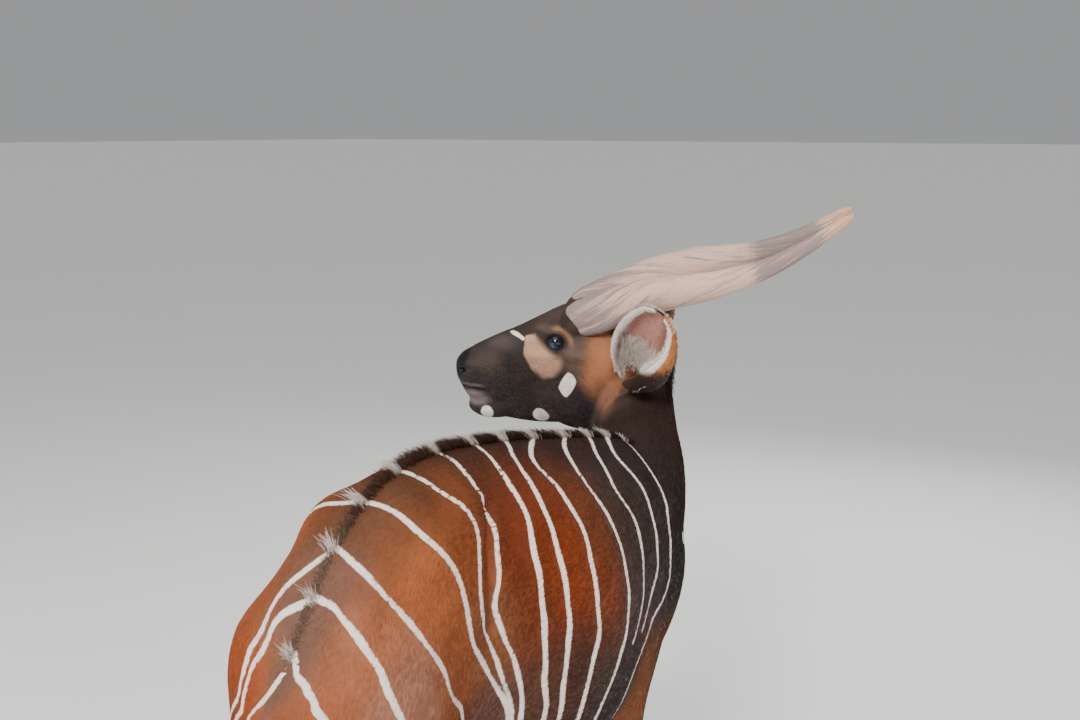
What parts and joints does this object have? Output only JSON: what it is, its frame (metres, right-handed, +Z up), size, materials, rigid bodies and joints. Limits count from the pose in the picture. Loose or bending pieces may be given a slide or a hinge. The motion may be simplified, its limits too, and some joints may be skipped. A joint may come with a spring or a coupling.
{
  "type": "bongo antelope",
  "caption": "Life-size still model of a standing bongo antelope that turns its head back over its left side, with long spiral horns, a striped coat and a crest along its back.",
  "frame": {"origin": "centre of the bounding box in plan, at the level of the soles", "axes": "+Z up, the chest towards -Y and the tail towards +Y, so the animal's right side is towards -X; the head turns back over the left side, towards +X"},
  "size_m": [0.8754, 1.5742, 1.7315],
  "materials": {
    "coat": "short striped hair",
    "horn": "satin",
    "hoof": "satin",
    "eye": "wet gloss"
  },
  "bodies": {
    "root": {"torso": "coat", "neck": "coat", "head": "coat", "tail": "coat", "leg_front_left_upper": "coat", "leg_front_left_lower": "coat", "leg_front_right_upper": "coat", "leg_front_right_lower": "coat", "leg_hind_left_upper": "coat", "leg_hind_left_lower": "coat", "leg_hind_right_upper": "coat", "leg_hind_right_lower": "coat", "ear_left": "coat", "ear_right": "coat", "horn_left": "horn", "horn_right": "horn", "hoof_front_left": "hoof", "hoof_front_right": "hoof", "hoof_hind_left": "hoof", "hoof_hind_right": "hoof", "eye_left": "eye", "eye_right": "eye"}
  },
  "joints": []
}
